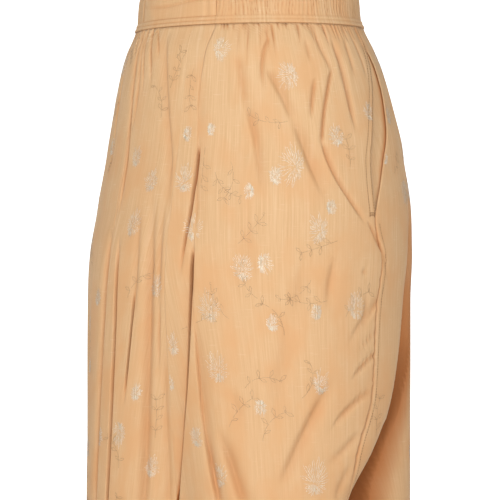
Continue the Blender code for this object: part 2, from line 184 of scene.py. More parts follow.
SIDE_SEAM_RIGHT = (
    (-0.040, 5.0),
    (-0.200, 0.0),
    (-0.400, -6.0),
    (-0.560, -16.0),
    (-0.750, -5.0),
    (-0.950, 0.0),
)

SEAT_CREASE = (
    (-0.040, 34.0, 0.009, 0.000),
    (-0.120, 31.0, 0.009, 0.000),
    (-0.180, 27.0, 0.008, 0.003),
    (-0.220, 24.5, 0.009, 0.012),
    (-0.300, 22.0, 0.011, 0.028),
    (-0.390, 20.5, 0.016, 0.046),
    (-0.436, 19.0, 0.020, 0.056),
    (-0.468, 17.0, 0.024, 0.064),
    (-0.511, 11.5, 0.032, 0.074),
    (-0.564, 2.0, 0.042, 0.080),
    (-0.620, -4.0, 0.044, 0.066),
    (-0.700, 0.0, 0.040, 0.034),
    (-0.800, 6.0, 0.030, 0.000),
    (-0.960, 6.0, 0.030, 0.000),
)

# Painted shade in the hollow of the seat, where light hardly comes. Height, ring angles at which
# the painted shade begins to fade and ends, and its share.
SEAT_SHADES = (
    (-0.040, 26.0, 30.0, 0.00),
    (-0.190, 30.0, 35.0, 0.00),
    (-0.235, 30.0, 36.0, 0.32),
    (-0.314, 29.5, 35.5, 0.55),
    (-0.348, 30.0, 35.0, 0.66),
    (-0.406, 31.0, 36.0, 0.84),
    (-0.463, 27.5, 37.0, 0.90),
    (-0.521, 20.0, 31.0, 0.92),
    (-0.567, 13.0, 24.0, 0.92),
    (-0.620, 9.0, 19.0, 0.70),
    (-0.700, 8.0, 16.0, 0.00),
    (-0.960, 8.0, 16.0, 0.00),
)

CENTRE_DIP = (
    (-0.040, 0.000, 0.000, 0.030),
    (-0.300, 0.000, 0.000, 0.030),
    (-0.450, 0.006, 0.004, 0.032),
    (-0.580, 0.014, 0.010, 0.034),
    (-0.640, 0.008, 0.006, 0.034),
    (-0.690, 0.000, 0.000, 0.034),
    (-0.960, 0.000, 0.000, 0.034),
)

# Side, seam line, depth of the groove, height of the puckers and share of painted
# shade along each seam.
SEAM_GROOVES = (
    (1, PLEAT_SEAM_LEFT, 0.0003, 0.00005, 0.08),
    (-1, PLEAT_SEAM_RIGHT, 0.0004, 0.00008, 0.15),
    (1, SIDE_SEAM_LEFT, 0.0011, 0.00045, 0.35),
    (-1, SIDE_SEAM_RIGHT, 0.0010, 0.00030, 0.35),
)

# Creases given one by one. Top height, bottom height, ring angle at the top, half
# way and at the bottom, half width in mm towards smaller and larger angles,
# depth in mm, and the shares of the length over which it starts and ends.
FOLDS_LEFT = (
    (-0.085, -0.291, -84.0, -81.7, -81.2, 0.9, 9.0, 1.4, 0.30, 0.30),
    (-0.346, -0.570, -84.0, -90.2, -87.2, 0.9, 12.0, 4.0, 0.35, 0.02),
    (-0.173, -0.328, -81.5, -83.4, -90.5, 2.2, 1.0, 7.5, 0.12, 0.45),
    (-0.285, -0.575, -82.2, -95.6, -118.7, 2.2, 1.4, 15.0, 0.10, 0.02),
    (-0.298, -0.575, -82.6, -97.2, -119.5, 8.0, 2.5, 3.0, 0.15, 0.02),
    (-0.481, -0.566, -83.0, -78.5, -73.8, 4.5, 9.0, 6.5, 0.45, 0.05),
    (-0.482, -0.567, -90.5, -89.0, -86.5, 3.0, 6.0, 2.5, 0.40, 0.10),
    (-0.437, -0.488, -74.8, -72.9, -70.0, 4.0, 6.0, 1.6, 0.40, 0.50),
    (-0.073, -0.140, -67.5, -65.5, -63.5, 3.0, 5.0, 2.6, 0.25, 0.30),
    (-0.124, -0.242, -64.2, -59.5, -56.8, 3.0, 6.0, 3.4, 0.25, 0.50),
    (-0.053, -0.118, -51.8, -56.9, -55.8, 1.8, 3.0, 2.6, 0.15, 0.35),
    (-0.089, -0.151, -56.0, -49.8, -45.8, 3.0, 8.0, 4.2, 0.20, 0.30),
    (-0.140, -0.245, -46.5, -40.1, -32.5, 4.0, 10.0, 5.0, 0.30, 0.50),
    (-0.048, -0.093, -29.2, -27.9, -25.5, 2.5, 3.0, 2.4, 0.30, 0.10),
    (-0.088, -0.177, -24.5, -31.1, -34.8, 2.8, 1.4, 3.4, 0.12, 0.12),
    (-0.171, -0.262, -34.8, -28.5, -16.5, 1.5, 4.5, 3.6, 0.12, 0.18),
    (-0.052, -0.164, -20.5, -19.5, -18.2, 2.0, 3.4, 4.0, 0.25, 0.30),
    (-0.057, -0.086, -35.2, -35.2, -35.2, 2.0, 2.6, 1.8, 0.30, 0.40),
    (-0.098, -0.149, -33.8, -36.3, -38.0, 3.0, 2.0, 3.0, 0.30, 0.30),
    (-0.053, -0.103, -11.8, -12.5, -12.8, 1.8, 2.6, 2.2, 0.30, 0.40),
    (-0.050, -0.102, -5.0, -3.9, -4.8, 1.8, 2.4, 2.2, 0.30, 0.40),
    (-0.260, -0.304, -15.0, -10.2, -3.7, 1.6, 2.6, 2.6, 0.15, 0.30),
    (-0.260, -0.335, -13.5, -6.7, -1.0, 2.0, 2.6, 1.2, 0.20, 0.50),
    (-0.311, -0.320, -13.0, -17.5, -25.0, 2.5, 3.5, 2.4, 0.30, 0.50),
    (-0.337, -0.402, -5.8, -17.3, -25.2, 4.0, 6.0, 2.2, 0.30, 0.50),
    (-0.404, -0.431, -10.0, -16.9, -22.5, 1.6, 4.0, 4.2, 0.15, 0.40),
    (-0.441, -0.489, -9.8, -24.7, -32.2, 3.0, 6.0, 4.2, 0.20, 0.50),
    (-0.426, -0.553, -30.0, -44.4, -56.5, 5.0, 9.0, 5.0, 0.35, 0.25),
    (-0.488, -0.530, -17.2, -26.8, -37.2, 4.0, 6.0, 3.0, 0.25, 0.50),
    (-0.523, -0.565, -21.5, -27.0, -29.8, 4.0, 6.0, 2.5, 0.30, 0.30),
    (-0.291, -0.363, -29.8, -31.9, -33.5, 4.0, 6.0, 2.6, 0.40, 0.50),
    (-0.335, -0.385, -14.5, -15.3, -15.8, 3.0, 4.0, 2.0, 0.40, 0.50),
    (-0.346, -0.370, -8.5, -11.7, -15.2, 1.6, 2.4, 1.6, 0.20, 0.50),
    (-0.379, -0.403, -9.5, -14.7, -19.5, 1.6, 2.4, 1.8, 0.20, 0.50),
    (-0.237, -0.345, -61.0, -63.0, -65.8, 7.0, 9.0, 2.0, 0.50, 0.50),
    (-0.345, -0.497, -47.8, -52.8, -59.8, 10.0, 12.0, 3.0, 0.50, 0.50),
    (-0.291, -0.378, -42.0, -44.0, -46.2, 7.0, 9.0, 2.0, 0.50, 0.50),
    (-0.570, -0.860, -66.0, -52.0, -50.0, 6.0, 9.0, 7.0, 0.30, 0.40),
    (-0.600, -0.925, -34.0, -26.0, -24.0, 5.0, 8.0, 6.0, 0.30, 0.15),
    (-0.640, -0.925, -96.0, -104.0, -98.0, 6.0, 8.0, 5.5, 0.40, 0.15),
    (-0.700, -0.925, -70.0, -76.0, -72.0, 4.0, 6.0, 4.0, 0.40, 0.10),
)
FOLDS_RIGHT = (
    (-0.043, -0.284, -75.0, -85.2, -93.2, 3.0, 8.0, 2.4, 0.10, 0.40),
    (-0.0403, -0.105, -62.0, -68.4, -71.4, 1.0, 2.2, 6.0, 0.02, 0.50),
    (-0.045, -0.167, -56.8, -63.2, -63.5, 1.2, 3.0, 2.4, 0.08, 0.40),
    (-0.0403, -0.250, -53.0, -61.0, -64.8, 0.9, 1.6, 6.5, 0.02, 0.25),
    (-0.0403, -0.250, -53.8, -61.8, -65.6, 0.9, 6.0, 2.0, 0.02, 0.25),
    (-0.0403, -0.120, -57.5, -64.0, -67.5, 0.8, 1.8, 3.6, 0.02, 0.60),
    (-0.0403, -0.078, -66.0, -71.5, -74.0, 0.8, 1.4, 3.0, 0.02, 0.60),
    (-0.0440, -0.070, -47.6, -50.4, -52.6, 1.2, 1.2, 8.6, 0.10, 0.35),
    (-0.055, -0.222, -41.0, -46.4, -50.3, 1.6, 3.0, 2.2, 0.15, 0.50),
    (-0.264, -0.581, -62.5, -65.0, -65.2, 2.6, 3.8, 8.4, 0.16, 0.02),
    (-0.264, -0.581, -62.5, -65.0, -65.2, 2.0, 8.0, 3.0, 0.20, 0.02),
    (-0.270, -0.579, -68.5, -75.3, -77.2, 2.2, 2.6, 10.0, 0.22, 0.02),
    (-0.330, -0.465, -82.5, -84.0, -84.6, 1.5, 1.5, 9.0, 0.30, 0.40),
    (-0.213, -0.576, -80.5, -93.2, -100.2, 6.0, 6.0, 6.0, 0.30, 0.02),
    (-0.235, -0.380, -76.2, -81.5, -85.0, 3.0, 5.0, 2.2, 0.40, 0.40),
    (-0.225, -0.379, -86.5, -91.8, -97.8, 4.0, 5.0, 3.0, 0.40, 0.50),
    (-0.346, -0.435, -95.8, -98.5, -101.5, 1.4, 2.4, 2.0, 0.30, 0.50),
    (-0.379, -0.575, -101.0, -108.0, -113.5, 5.0, 5.0, 2.6, 0.40, 0.02),
    (-0.043, -0.300, -30.0, -34.0, -38.0, 4.0, 7.0, 4.0, 0.10, 0.60),
    (-0.043, -0.240, -14.0, -16.0, -20.0, 4.0, 7.0, 3.6, 0.10, 0.60),
    (-0.330, -0.640, -46.0, -44.0, -40.0, 6.0, 11.0, 8.0, 0.40, 0.40),
    (-0.400, -0.700, -22.0, -26.0, -30.0, 7.0, 12.0, 7.0, 0.40, 0.40),
    (-0.570, -0.860, -60.0, -48.0, -50.0, 6.0, 9.0, 7.0, 0.30, 0.40),
    (-0.640, -0.925, -98.0, -104.0, -96.0, 6.0, 8.0, 5.5, 0.40, 0.15),
    (-0.600, -0.925, -30.0, -26.0, -22.0, 5.0, 8.0, 5.5, 0.30, 0.15),
)
FOLDS_BACK = (
    (-0.042, -0.250, 88.0, 84.0, 78.0, 5.0, 9.0, 4.2, 0.08, 0.60),
    (-0.042, -0.330, 74.0, 72.0, 66.0, 5.0, 9.0, 4.8, 0.08, 0.60),
    (-0.042, -0.200, 60.0, 60.0, 57.0, 4.0, 7.0, 3.8, 0.08, 0.60),
    (-0.042, -0.300, 47.0, 46.0, 44.0, 4.0, 7.0, 4.2, 0.08, 0.60),
    (-0.042, -0.180, 33.0, 34.0, 34.0, 3.0, 6.0, 3.2, 0.08, 0.60),
    (-0.042, -0.210, 19.0, 18.0, 16.0, 3.0, 6.0, 3.6, 0.08, 0.60),
    (-0.300, -0.660, 62.0, 70.0, 80.0, 8.0, 14.0, 8.0, 0.50, 0.40),
    (-0.380, -0.700, 48.0, 56.0, 68.0, 8.0, 14.0, 9.0, 0.50, 0.40),
    (-0.340, -0.640, 84.0, 92.0, 102.0, 8.0, 14.0, 7.0, 0.50, 0.40),
    (-0.650, -0.925, 60.0, 70.0, 66.0, 7.0, 11.0, 6.0, 0.40, 0.15),
    (-0.700, -0.925, 110.0, 104.0, 112.0, 6.0, 10.0, 5.5, 0.40, 0.15),
    (-0.720, -0.925, 30.0, 36.0, 34.0, 5.0, 9.0, 4.5, 0.40, 0.12),
)

# Foil flowers and brown sprigs that can be seen. Side, ring angle, height,
# radius and turn of each flower; side, ring angle, height and turn of each sprig.
FLOWERS = (
    (1, -75.0, -0.070, 0.0149, 20),
    (1, -45.0, -0.098, 0.0173, 200),
    (1, -45.2, -0.200, 0.0230, 170),
    (1, -52.8, -0.213, 0.0115, 60),
    (1, -86.2, -0.218, 0.0173, 90),
    (-1, -80.2, -0.218, 0.0149, 100),
    (-1, -69.5, -0.190, 0.0126, 80),
    (-1, -75.0, -0.266, 0.0173, 60),
    (1, -82.5, -0.271, 0.0173, 95),
    (1, -35.8, -0.271, 0.0173, 150),
    (1, -64.8, -0.315, 0.0173, 80),
    (1, -57.5, -0.304, 0.0126, -20),
    (1, -79.2, -0.359, 0.0195, 90),
    (1, -20.8, -0.357, 0.0173, 60),
    (1, -37.0, -0.360, 0.0103, 140),
    (1, -100.0, -0.398, 0.0161, 100),
    (1, -79.5, -0.424, 0.0195, 90),
    (1, -37.2, -0.439, 0.0149, 60),
    (1, -95.0, -0.499, 0.0138, 80),
    (1, -40.2, -0.545, 0.0219, 90),
    (-1, -83.5, -0.492, 0.0161, 250),
    (1, -84.2, -0.541, 0.0149, 110),
    (1, -27.8, -0.169, 0.0138, 120),
    (1, -61.3, -0.226, 0.0092, 200),
    (-1, -92.5, -0.335, 0.0138, 80),
    (1, -106.5, -0.440, 0.0103, 90),
    (1, -8.8, -0.141, 0.0115, 90),
    (1, 5.5, -0.095, 0.0103, 90),
    (1, 6.8, -0.143, 0.0126, 80),
    (1, -2.8, -0.191, 0.0092, 90),
    (1, -87.2, -0.164, 0.0092, 30),
    (1, -77.5, -0.159, 0.0080, 30),
    (1, -62.2, -0.459, 0.0103, 240),
    (-1, -101.8, -0.535, 0.0138, 60),
    (1, -55.5, -0.373, 0.0103, 60),
    (-1, -91.0, -0.452, 0.0103, 100),
    (1, -32.5, -0.245, 0.0092, 20),
    (-1, -58.2, -0.348, 0.0103, 90),
    (-1, -67.5, -0.505, 0.0103, 60),
    (-1, -53.5, -0.031, 0.0092, 60),
    (-1, -47.0, -0.176, 0.0115, 80),
    (1, -64.5, -0.036, 0.0092, 90),
)
SPRIGS = (
    (1, -66.5, -0.286, 40),
    (1, -39.2, -0.321, 250),
    (1, -62.5, -0.501, 90),
    (1, -51.0, -0.386, 80),
    (-1, -84.0, -0.079, 60),
    (1, -85.8, -0.086, 250),
    (-1, -83.2, -0.113, 80),
    (1, -69.2, -0.192, 300),
    (1, -25.5, -0.367, 70),
    (1, -7.8, -0.500, 100),
    (1, -32.0, -0.345, 200),
    (1, -46.0, -0.453, 30),
    (1, -79.0, -0.175, 270),
    (1, -74.5, -0.203, 280),
    (-1, -80.0, -0.146, 80),
    (1, -69.0, -0.443, 60),
    (1, -94.5, -0.379, 20),
    (-1, -84.5, -0.537, 80),
    (1, -28.2, -0.280, 200),
    (1, -59.0, -0.345, 150),
    (1, -46.8, -0.149, 200),
    (1, -23.0, -0.203, 80),
    (-1, -102.8, -0.502, 90),
    (1, -77.5, -0.486, 70),
    (-1, -79.8, -0.347, 90),
    (1, -70.8, -0.367, 150),
)


def read_table(rows, height):
    """The table's columns at a height, smooth between its rows."""
    table = np.array(rows)[::-1]
    known = table[:, 0]
    values = table[:, 1:]
    steps = np.diff(values, axis=0) / np.diff(known)[:, None]
    before = steps[:-1]
    after = steps[1:]
    same_way = before * after > 0
    total = np.where(same_way, before + after, 1.0)
    between = np.where(same_way, 2.0 * before * after / total, 0.0)
    slopes = np.concatenate([steps[:1], between, steps[-1:]])
    height = np.clip(height, known[0], known[-1])
    low = np.clip(np.searchsorted(known, height) - 1, 0, len(known) - 2)
    step = known[low + 1] - known[low]
    part = ((height - known[low]) / step)[..., None]
    step = step[..., None]
    start = (1 + 2 * part) * (1 - part) ** 2
    start_slope = part * (1 - part) ** 2
    end = part ** 2 * (3 - 2 * part)
    end_slope = part ** 2 * (part - 1)
    mixed = start * values[low] + start_slope * step * slopes[low]
    mixed = mixed + end * values[low + 1] + end_slope * step * slopes[low + 1]
    return np.moveaxis(mixed, -1, 0)


def smooth_step(value):
    value = np.clip(value, 0.0, 1.0)
    return value * value * (3.0 - 2.0 * value)


def trough(distance, half_width):
    return np.exp(-(distance / half_width) ** 2)


def fold_place(row, angle, height, arc):
    """Distance from a crease's line and its half width there, both in mm, and its reach."""
    top, bottom, first, middle, last, before, after, depth, rise, fall = row
    along = np.clip((top - height) / (top - bottom), 0.0, 1.0)
    line = first + (4 * middle - 3 * first - last) * along
    line = line + (2 * first + 2 * last - 4 * middle) * along ** 2
    reach = smooth_step(along / rise) * smooth_step((1.0 - along) / fall)
    distance = (angle - np.radians(line)) * arc * 1000.0
    return distance, np.where(distance < 0, before, after), reach


def fold_offset(rows, angle, height, arc):
    """How far the creases of a table move the cloth inward."""
    moved = np.zeros_like(height)
    for row in rows:
        distance, width, reach = fold_place(row, angle, height, arc)
        steep = SLIT_POWER if row[7] > SLIT_DEPTH else SOFT_POWER
        moved = moved + row[7] * 0.001 * reach * np.exp(-np.abs(distance / width) ** steep)
    return moved


def crowding(rows, angle, height, arc):
    """How much closer together the columns of a shell stand near sharp creases."""
    crowd = np.ones_like(height)
    for row in rows:
        distance, width, reach = fold_place(row, angle, height, arc)
        sharp = min(MOST_CROWDED, CROWD_SHARPNESS * row[7] / min(row[5], row[6]))
        near = trough(distance, CROWD_WIDTH * width)
        crowd = crowd + sharp * np.clip(CROWD_EARLY * reach, 0.0, 1.0) * near
    return crowd


def seam_offset(side, angle, height, arc):
    """The groove along each seam, and the puckers that sewing leaves beside it."""
    moved = np.zeros_like(height)
    for seam_side, rows, depth, pucker, dark in SEAM_GROOVES:
        if seam_side != side:
            continue
        line = np.radians(read_table(rows, height)[0])
        distance = (angle - line) * arc
        if rows is SIDE_SEAM_LEFT:
            below_pocket = smooth_step((POCKET_BOTTOM + 0.004 - height) / 0.010)
        else:
            below_pocket = 1.0
        ripple = np.sin(height * 610.0 + 2.4 * np.sin(height * 83.0)) + 0.6 * np.sin(height * 291.0 + 1.0)
        moved = moved + depth * below_pocket * trough(distance, SEAM_GROOVE_WIDTH)
        moved = moved + pucker * below_pocket * ripple * trough(distance, PUCKER_WIDTH)
    return moved


def gather_rows(first, last, seed):
    """Gathers under the elastic as rows of a crease table."""
    chance = np.random.default_rng(seed)
    rows = []
    angle = first
    while angle < last:
        length = 0.008 + 0.050 * chance.random() ** 1.7
        depth = 0.8 + 2.4 * chance.random() ** 1.4
        before = 0.55 + 0.55 * chance.random()
        after = 0.65 + 1.10 * chance.random()
        lean = 40.0 * length * (chance.random() - 0.5)
        bend = 0.7 * (chance.random() - 0.5)
        line = (angle, angle + lean + bend, angle + 2 * lean)
        rows.append((-BAND_DROP, -BAND_DROP - length, *line, before, after, depth, 0.03, 0.85))
        angle += GATHER_STEP * (1.0 + GATHER_UNEVEN * (2.0 * chance.random() - 1.0))
    return tuple(rows)


GATHERS = {1: gather_rows(-75.0, 92.0, 11), -1: gather_rows(-47.0, 92.0, 23)}


def all_folds(side):
    return FOLDS_BACK + (FOLDS_LEFT if side > 0 else FOLDS_RIGHT) + GATHERS[side]


def join_fill(x, centre_x, half_width, half_depth):
    """Rounds the valley where the two leg rings meet."""
    share = np.clip(centre_x / half_width, 0.0, JOIN_ENDS)
    slope = half_depth / half_width * share / np.sqrt(1.0 - share ** 2)
    slope = slope * (1.0 - smooth_step((share - JOIN_FADES) / (JOIN_ENDS - JOIN_FADES)))
    outside = np.maximum(x, 0.0)
    return slope * (np.sqrt(outside ** 2 + JOIN_ROUND ** 2) - outside)


def surface(side, angle, height, kept_apart=True):
    """Points on the outside of the cloth; side is 1 for the wearer's left."""
    centre_x, centre_y, half_width, half_depth = read_table(SECTIONS, height)
    cos_angle = np.cos(angle)
    sin_angle = np.sin(angle)
    arc = np.sqrt((half_width * sin_angle) ** 2 + (half_depth * cos_angle) ** 2)
    normal_x = half_depth * cos_angle / arc
    normal_y = half_width * sin_angle / arc
    x = centre_x + half_width * cos_angle
    y = centre_y + half_depth * sin_angle
    crease_angle, crease_width, crease_depth = read_table(SEAT_CREASE, height)
    crease_distance = (angle - np.radians(crease_angle)) * arc
    inward = crease_depth * trough(crease_distance, crease_width)
    inward = inward + fold_offset(all_folds(side), angle, height, arc)
    inward = inward + seam_offset(side, angle, height, arc)
    dip_front, dip_back, dip_width = read_table(CENTRE_DIP, height)
    fill = join_fill(x, centre_x, half_width, half_depth)
    dip = np.where(sin_angle < 0, dip_front, dip_back) * trough(x, dip_width) - fill
    dip = dip * np.where(sin_angle < 0, 1.0, -1.0)
    near_centre = smooth_step(x / CENTRE_FADE)
    moved_x = x - inward * normal_x * near_centre
    moved_y = y - inward * normal_y * near_centre + dip
    if kept_apart:
        moved_x = np.maximum(moved_x, 0.0)
    return np.stack([side * moved_x, moved_y, height], axis=-1)


def surface_normal(side, angle, height):
    """Unit vectors that point out of the garment."""
    after = surface(side, angle + SMALL_ANGLE, height, False)
    before = surface(side, angle - SMALL_ANGLE, height, False)
    above = surface(side, angle, height + SMALL_HEIGHT, False)
    below = surface(side, angle, height - SMALL_HEIGHT, False)
    cross = np.cross(below - above, after - before) * side
    return cross / np.linalg.norm(cross, axis=-1, keepdims=True)


def fold_shade(side, angle, height):
    """Share of painted shade in the creases, the seat hollow and the seam grooves, from none to one."""
    arc = ring_arc(angle, height)
    clear = np.ones_like(height)
    for row in all_folds(side):
        distance, width, reach = fold_place(row, angle, height, arc)
        steep = SLIT_POWER if row[7] > SLIT_DEPTH else SOFT_POWER
        sharpness = SLIT_SHARPNESS if row[7] > SLIT_DEPTH else SHADE_SHARPNESS
        most = 1.0 - math.exp(-sharpness * row[7] / (row[5] + row[6]))
        clear = clear * (1.0 - most * reach * np.exp(-np.abs(distance / width) ** steep))
    crease_angle = read_table(SEAT_CREASE, height)[0]
    fades, ends, share = read_table(SEAT_SHADES, height)
    degrees = np.degrees(angle)
    started = smooth_step((degrees - crease_angle) / SEAT_SHADE_STARTS + 1.0)
    ended = smooth_step((degrees - fades) / (ends - fades))
    clear = clear * (1.0 - share * started * (1.0 - ended))
    for seam_side, rows, depth, pucker, dark in SEAM_GROOVES:
        if seam_side == side:
            distance = (angle - np.radians(read_table(rows, height)[0])) * arc
            clear = clear * (1.0 - dark * trough(distance, SEAM_SHADE_WIDTH))
    return 1.0 - clear


def ring_arc(angle, height):
    """Metres of cloth for each radian of ring angle."""
    half_width, half_depth = read_table(SECTIONS, height)[2:]
    return np.sqrt((half_width * np.sin(angle)) ** 2 + (half_depth * np.cos(angle)) ** 2)


def ring_limit(height):
    """The angle at which a leg ring reaches the middle of the garment."""
    centre_x, half_width = read_table(SECTIONS, height)[[0, 2]]
    share = np.clip(centre_x / half_width, 0.0, 1.0)
    return np.degrees(np.pi - np.arccos(share))


def front_limit(heights):
    return -ring_limit(heights)


def back_limit(heights):
    return ring_limit(heights)


def seam_edge(rows):
    return lambda heights: read_table(rows, heights)[0]


def pocket_edge(direction):
    """One edge of the pocket mouth, and the side seam above and below it."""
    def edge(heights):
        share = np.clip((POCKET_TOP - heights) / (POCKET_TOP - POCKET_BOTTOM), 0.0, 1.0)
        half_open = POCKET_HALF_OPEN * np.sin(np.pi * share ** 0.85)
        return read_table(SIDE_SEAM_LEFT, heights)[0] + direction * half_open
    return edge


def quad_mesh(name, points, faces):
    mesh = bpy.data.meshes.new(name)
    mesh.vertices.add(len(points))
    mesh.vertices.foreach_set("co", points.reshape(-1).astype(np.float32))
    mesh.loops.add(faces.size)
    mesh.loops.foreach_set("vertex_index", faces.reshape(-1).astype(np.int32))
    mesh.polygons.add(len(faces))
    mesh.polygons.foreach_set("loop_start", np.arange(0, faces.size, 4, dtype=np.int32))
    mesh.update(calc_edges=True)
    made = bpy.data.objects.new(name, mesh)
    bpy.context.scene.collection.objects.link(made)
    return made


def grid_mesh(name, points, cloth_places, closed=False, shade=None):
    """A mesh from rows of points. Its UVs are its place on the cloth and its share of painted shade."""
    rows, columns = points.shape[:2]
    spans = columns if closed else columns - 1
    row, column = np.meshgrid(np.arange(rows - 1), np.arange(spans), indexing="ij")
    after = (column + 1) % columns
    faces = np.stack([row * columns + column, (row + 1) * columns + column,
                      (row + 1) * columns + after, row * columns + after], axis=-1).reshape(-1, 4)
    made = quad_mesh(name, points.reshape(-1, 3), faces)
    mesh = made.data
    mesh.polygons.foreach_set("use_smooth", np.ones(len(faces), dtype=bool))
    if shade is None:
        shade = np.zeros(points.shape[:2])
    for layer_name, values in (("cloth", cloth_places), ("folds", np.stack([shade, shade], axis=-1))):
        layer = mesh.uv_layers.new(name=layer_name)
        corners = values.reshape(-1, 2)[faces.reshape(-1)]
        layer.data.foreach_set("uv", corners.reshape(-1).astype(np.float32))
    return made


def inside_leg(side):
    """A point in the hollow of one half."""
    return side * 0.06, 0.0, -0.45


def faces_out(made, inside):
    """Turns the faces so that they look away from a point inside."""
    mesh = made.data
    mesh.update()
    count = len(mesh.polygons)
    centres = np.empty(count * 3)
    normals = np.empty(count * 3)
    mesh.polygons.foreach_get("center", centres)
    mesh.polygons.foreach_get("normal", normals)
    away = centres.reshape(-1, 3) - np.array(inside)
    if (away * normals.reshape(-1, 3)).sum() < 0:
        mesh.flip_normals()


def give_thickness(made, thickness):
    shell = made.modifiers.new("cloth_thickness", "SOLIDIFY")
    shell.thickness = thickness
    shell.offset = -1.0
    shell.use_even_offset = False


def finish_piece(made, nodes=()):
    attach(made, "root")
    if nodes:
        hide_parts(*nodes)


# Materials

def new_material(name):
    material = bpy.data.materials.new(name)
    material.use_nodes = True
    tree = material.node_tree
    shader = tree.nodes["Principled BSDF"]
    return material, tree, shader


def noise(tree, vector, scale, detail, rough=0.5):
    node = tree.nodes.new("ShaderNodeTexNoise")
    node.inputs["Scale"].default_value = scale
    node.inputs["Detail"].default_value = detail
    node.inputs["Roughness"].default_value = rough
    tree.links.new(vector, node.inputs["Vector"])
    return node.outputs["Fac"]


def stretched(tree, source, across, along, offset=(0.0, 0.0, 0.0)):
    node = tree.nodes.new("ShaderNodeMapping")
    node.inputs["Scale"].default_value = (across, along, 1.0)
    node.inputs["Location"].default_value = offset
    tree.links.new(source, node.inputs["Vector"])
    return node.outputs["Vector"]


def ramp(tree, value, low, high):
    node = tree.nodes.new("ShaderNodeMapRange")
    node.inputs["From Min"].default_value = low
    node.inputs["From Max"].default_value = high
    tree.links.new(value, node.inputs["Value"])
    return node.outputs["Result"]


def calculate(tree, operation, first, second):
    node = tree.nodes.new("ShaderNodeMath")
    node.operation = operation
    for index, value in enumerate((first, second)):
        if isinstance(value, (int, float)):
            node.inputs[index].default_value = value
        else:
            tree.links.new(value, node.inputs[index])
    return node.outputs["Value"]


def mix_colour(tree, share, first, second):
    node = tree.nodes.new("ShaderNodeMix")
    node.data_type = "RGBA"
    tree.links.new(share, node.inputs[0])
    for index, value in ((6, first), (7, second)):
        if isinstance(value, tuple):
            node.inputs[index].default_value = value
        else:
            tree.links.new(value, node.inputs[index])
    return node.outputs[2]


def cloth_material(name, light, dark, slub):
    """Plain-woven rayon with uneven threads that run down the cloth, and painted shade, brown to nearly
    black, in its creases.
    """
    material, tree, shader = new_material(name)
    place = tree.nodes.new("ShaderNodeUVMap")
    place.uv_map = "cloth"
    uv = place.outputs["UV"]
    fine = noise(tree, stretched(tree, uv, 760.0, 14.0), 1.0, 3.0, 0.65)
    slubs = noise(tree, stretched(tree, uv, 330.0, 5.0, (3.1, 1.7, 0.0)), 1.0, 2.0)
    across = noise(tree, stretched(tree, uv, 60.0, 640.0, (9.3, 4.1, 0.0)), 1.0, 2.0)
    broad = noise(tree, stretched(tree, uv, 30.0, 17.0, (5.0, 2.0, 0.0)), 1.0, 3.0)
    tone = ramp(tree, fine, 0.25, 0.75)
    colour = mix_colour(tree, tone, light, dark)
    thick = ramp(tree, slubs, 0.58, 0.76)
    colour = mix_colour(tree, calculate(tree, "MULTIPLY", thick, 0.40), colour, slub)
    thin = ramp(tree, slubs, 0.40, 0.26)
    colour = mix_colour(tree, calculate(tree, "MULTIPLY", thin, 0.40), colour, dark)
    threads = ramp(tree, across, 0.62, 0.74)
    colour = mix_colour(tree, calculate(tree, "MULTIPLY", threads, 0.40), colour, slub)
    parts = tree.nodes.new("ShaderNodeSeparateXYZ")
    tree.links.new(uv, parts.inputs["Vector"])
    lower = calculate(tree, "MULTIPLY", ramp(tree, parts.outputs["Y"], -0.12, -0.46), 0.30)
    patches = calculate(tree, "MULTIPLY", ramp(tree, broad, 0.44, 0.66), 0.72)
    colour = mix_colour(tree, calculate(tree, "ADD", lower, patches), colour, BODY_WARM)
    # Painted shade: the share in the folds UVs turns the colour brown, then nearly black, and takes sheen
    # and specular away there.
    folds = tree.nodes.new("ShaderNodeUVMap")
    folds.uv_map = "folds"
    depths = tree.nodes.new("ShaderNodeSeparateXYZ")
    tree.links.new(folds.outputs["UV"], depths.inputs["Vector"])
    depth = depths.outputs["X"]
    colour = mix_colour(tree, calculate(tree, "MULTIPLY", depth, 0.88), colour, PAINTED_SHADE_BROWN)
    darkest_painted_shade = calculate(tree, "MULTIPLY", ramp(tree, depth, 0.80, 0.98), 0.70)
    colour = mix_colour(tree, darkest_painted_shade, colour, PAINTED_SHADE_DARKEST)
    tree.links.new(colour, shader.inputs["Base Color"])
    height = calculate(tree, "MULTIPLY", fine, 0.5)
    height = calculate(tree, "ADD", height, calculate(tree, "MULTIPLY", across, 0.3))
    height = calculate(tree, "ADD", height, calculate(tree, "MULTIPLY", thick, 0.4))
    bump = tree.nodes.new("ShaderNodeBump")
    bump.inputs["Strength"].default_value = 0.30
    bump.inputs["Distance"].default_value = 0.00018
    tree.links.new(height, bump.inputs["Height"])
    tree.links.new(bump.outputs["Normal"], shader.inputs["Normal"])
    rough = tree.nodes.new("ShaderNodeMapRange")
    rough.inputs["To Min"].default_value = 0.58
    rough.inputs["To Max"].default_value = 0.76
    tree.links.new(fine, rough.inputs["Value"])
    tree.links.new(rough.outputs["Result"], shader.inputs["Roughness"])
    outside_painted_shade = calculate(tree, "SUBTRACT", 1.0, depth)
    tree.links.new(calculate(tree, "MULTIPLY", outside_painted_shade, 0.18), shader.inputs["Sheen Weight"])
    shader.inputs["Sheen Roughness"].default_value = 0.40
    shader.inputs["Sheen Tint"].default_value = (1.0, 0.88, 0.70, 1.0)
    tree.links.new(calculate(tree, "MULTIPLY", outside_painted_shade, 0.28), shader.inputs["Specular IOR Level"])
    return material


def foil_material(name, bright, dull, metallic, roughness):
    """Print or thread whose colour is uneven, as foil that has cracked in wear."""
    material, tree, shader = new_material(name)
    place = tree.nodes.new("ShaderNodeTexCoord")
    grain = noise(tree, stretched(tree, place.outputs["Object"], 900.0, 900.0), 1.0, 3.0, 0.7)
    colour = mix_colour(tree, ramp(tree, grain, 0.42, 0.62), bright, dull)
    tree.links.new(colour, shader.inputs["Base Color"])
    shader.inputs["Metallic"].default_value = metallic
    shader.inputs["Roughness"].default_value = roughness
    return material


